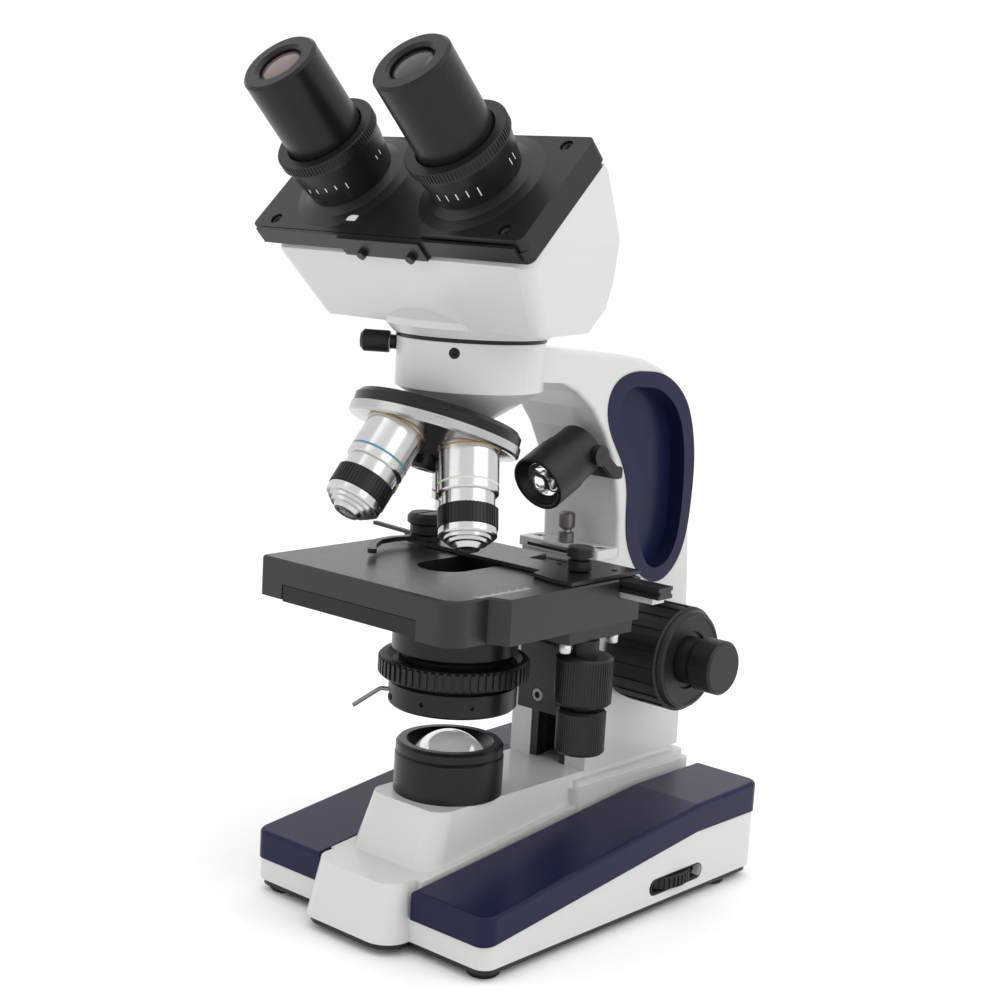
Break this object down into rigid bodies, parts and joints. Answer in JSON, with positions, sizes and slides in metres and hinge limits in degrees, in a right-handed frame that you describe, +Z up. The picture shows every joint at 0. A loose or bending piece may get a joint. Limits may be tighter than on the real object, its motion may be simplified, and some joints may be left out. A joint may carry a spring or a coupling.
{
  "type": "binocular compound microscope",
  "caption": "Upright binocular compound microscope with sloping eyepiece head, rotating objective nosepiece, mechanical stage, condenser, base light and tilting upper spot lamp.",
  "frame": {"origin": "centre of the overall outline at bench level", "axes": "+Z up, +X to the right as seen from the eyepiece side, +Y towards the back of the stand"},
  "size_m": [0.1567, 0.2317, 0.3636],
  "materials": {
    "white_paint": "satin enamel",
    "navy_paint": "semi-gloss",
    "black_anodised": "satin black anodised",
    "black_paint": "satin",
    "black_plastic": "fine grained",
    "black_rubber": "matt",
    "chrome": "polished",
    "steel": "turned",
    "optical_glass": "polished, coated",
    "teal_enamel": "enamel line",
    "cream_enamel": "enamel line",
    "red_enamel": "enamel line",
    "yellow_enamel": "enamel line"
  },
  "bodies": {
    "stand": {"base_casting": "white_paint", "left_wing_cover": "navy_paint", "right_wing_cover": "navy_paint", "base_plate": "black_paint", "rubber_feet": "black_rubber", "power_inlet": "black_plastic", "collector_housing": "black_anodised", "field_lens": "optical_glass", "arm_casting": "white_paint", "left_grip_insert": "navy_paint", "right_grip_insert": "navy_paint", "head_seat_ring": "black_anodised", "focus_way": "black_anodised", "stop_plate": "white_paint", "stop_plate_screws": "steel", "lamp_bracket": "black_paint"},
    "focus_stage": {"focus_slide": "black_anodised", "stage_bracket": "black_paint", "bracket_screw": "steel", "condenser_carrier": "black_anodised", "stage_carriage": "black_anodised"},
    "coarse_focus": {"coarse_knobs": "black_plastic"},
    "fine_focus": {"fine_knobs": "black_plastic"},
    "stage_top": {"stage_plate": "black_paint", "drive_block": "black_paint"},
    "y_drive": {"y_knob": "black_plastic"},
    "x_drive": {"x_knob": "black_plastic"},
    "slide_carrier": {"slide_holder": "black_anodised", "holder_rack": "chrome", "finger_cap": "black_plastic"},
    "finger": {"spring_finger": "black_paint"},
    "side_clamp": {"clamp_knob": "black_anodised"},
    "condenser": {"condenser_housing": "black_anodised", "condenser_lens": "optical_glass"},
    "condenser_focus": {"condenser_ring": "black_plastic"},
    "iris": {"iris_lever": "steel"},
    "dial": {"brightness_dial": "black_plastic"},
    "stop": {"stop_screw": "steel"},
    "clamp": {"head_clamp_screw": "black_plastic"},
    "lamp": {"upper_lamp": "black_plastic"},
    "nosepiece": {"turret_disc": "black_anodised", "click_ring": "chrome", "objective_4x": "chrome", "objective_10x": "chrome", "objective_40x": "chrome", "objective_100x": "chrome", "colour_ring_4x": "red_enamel", "colour_ring_10x": "yellow_enamel", "colour_ring_40x": "teal_enamel", "colour_ring_100x": "cream_enamel", "objective_knurls": "black_anodised", "objective_lenses": "optical_glass"},
    "head": {"head_casting": "white_paint", "head_plate": "black_paint"},
    "left_ocular_tube": {"left_tube": "black_paint"},
    "right_ocular_tube": {"right_tube": "black_paint"},
    "left_diopter": {"left_diopter_ring": "black_plastic"},
    "right_diopter": {"right_diopter_ring": "black_plastic"},
    "left_ocular": {"left_eyepiece": "black_anodised"},
    "right_ocular": {"right_eyepiece": "black_anodised"}
  },
  "joints": [
    {"name": "stage_focus", "type": "slide", "parent": "stand", "child": "focus_stage", "axis": [0, 0, 1], "range_m": [-0.012, 0.0015]},
    {"name": "coarse_turn", "type": "hinge", "parent": "stand", "child": "coarse_focus", "pos_m": [0, 0.07305, 0.107], "axis": [1, 0, 0], "range_deg": [-20, 110]},
    {"name": "fine_turn", "type": "hinge", "parent": "stand", "child": "fine_focus", "pos_m": [0, 0.07305, 0.107], "axis": [1, 0, 0], "continuous": true},
    {"name": "stage_y", "type": "slide", "parent": "focus_stage", "child": "stage_top", "axis": [0, 1, 0], "range_m": [-0.014, 0.009]},
    {"name": "y_knob_turn", "type": "hinge", "parent": "stage_top", "child": "y_drive", "pos_m": [0.055, -0.00445, 0.11], "axis": [0, 0, 1], "range_deg": [-170, 110]},
    {"name": "holder_x", "type": "slide", "parent": "stage_top", "child": "slide_carrier", "axis": [1, 0, 0], "range_m": [-0.018, 0.018]},
    {"name": "x_knob_turn", "type": "hinge", "parent": "stage_top", "child": "x_drive", "pos_m": [0.055, -0.00445, 0.09], "axis": [0, 0, 1], "range_deg": [-215, 215]},
    {"name": "finger_swing", "type": "hinge", "parent": "slide_carrier", "child": "finger", "pos_m": [-0.0395, -0.00445, 0.1558], "axis": [0, 0, 1], "range_deg": [-25, 0], "stiffness_Nm_per_rad": 0.05, "springref_deg": 17.19},
    {"name": "side_clamp_turn", "type": "hinge", "parent": "slide_carrier", "child": "side_clamp", "pos_m": [0.045, 0.00055, 0.158], "axis": [0, 0, 1], "range_deg": [-40, 40]},
    {"name": "condenser_height", "type": "slide", "parent": "focus_stage", "child": "condenser", "axis": [0, 0, 1], "range_m": [-0.003, 0.001]},
    {"name": "condenser_ring_turn", "type": "hinge", "parent": "condenser", "child": "condenser_focus", "pos_m": [0, -0.02445, 0.109], "axis": [0, 0, 1], "range_deg": [-75, 30]},
    {"name": "iris_swing", "type": "hinge", "parent": "condenser", "child": "iris", "pos_m": [0, -0.02445, 0.0954], "axis": [0, 0, 1], "range_deg": [-20, 20]},
    {"name": "dial_turn", "type": "hinge", "parent": "stand", "child": "dial", "pos_m": [0.0513, 0.05455, 0.013], "axis": [0, 0, 1], "range_deg": [0, 270]},
    {"name": "stop_screw_turn", "type": "hinge", "parent": "stand", "child": "stop", "pos_m": [0, 0.04605, 0.16], "axis": [0, 0, 1], "range_deg": [-180, 180]},
    {"name": "head_clamp_turn", "type": "hinge", "parent": "stand", "child": "clamp", "pos_m": [-0.03277, -0.04739, 0.2446], "axis": [-0.8192, -0.5736, 0], "range_deg": [-180, 180]},
    {"name": "lamp_tilt", "type": "hinge", "parent": "stand", "child": "lamp", "pos_m": [0.013, 0.03355, 0.1985], "axis": [1, 0, 0], "range_deg": [-6, 8]},
    {"name": "nosepiece_turn", "type": "hinge", "parent": "stand", "child": "nosepiece", "pos_m": [0, -0.04475, 0.2084], "axis": [0, -0.342, -0.9397], "continuous": true},
    {"name": "head_turn", "type": "hinge", "parent": "stand", "child": "head", "pos_m": [0, -0.02445, 0.25], "axis": [0, 0, 1], "range_deg": [-180, 180]},
    {"name": "left_tube_slide", "type": "slide", "parent": "head", "child": "left_ocular_tube", "axis": [1, 0, 0], "range_m": [-0.002, 0.008]},
    {"name": "right_tube_slide", "type": "slide", "parent": "head", "child": "right_ocular_tube", "axis": [-1, 0, 0], "range_m": [-0.002, 0.008]},
    {"name": "left_diopter_turn", "type": "hinge", "parent": "left_ocular_tube", "child": "left_diopter", "pos_m": [-0.0356, -0.07747, 0.32601], "axis": [0, -0.7071, 0.7071], "range_deg": [-150, 150]},
    {"name": "right_diopter_turn", "type": "hinge", "parent": "right_ocular_tube", "child": "right_diopter", "pos_m": [0.0356, -0.07747, 0.32601], "axis": [0, -0.7071, 0.7071], "range_deg": [-150, 150]},
    {"name": "left_eyepiece_lift", "type": "slide", "parent": "left_ocular_tube", "child": "left_ocular", "axis": [0, -0.7071, 0.7071], "range_m": [0, 0.02]},
    {"name": "right_eyepiece_lift", "type": "slide", "parent": "right_ocular_tube", "child": "right_ocular", "axis": [0, -0.7071, 0.7071], "range_m": [0, 0.02]}
  ],
  "couplings": [
    {"joint": "coarse_turn", "follows": "stage_focus", "rad_per_m": -156.25},
    {"joint": "y_knob_turn", "follows": "stage_y", "rad_per_m": 200},
    {"joint": "x_knob_turn", "follows": "holder_x", "rad_per_m": 200},
    {"joint": "condenser_ring_turn", "follows": "condenser_height", "rad_per_m": 392.7},
    {"joint": "right_tube_slide", "follows": "left_tube_slide", "ratio": 1}
  ]
}
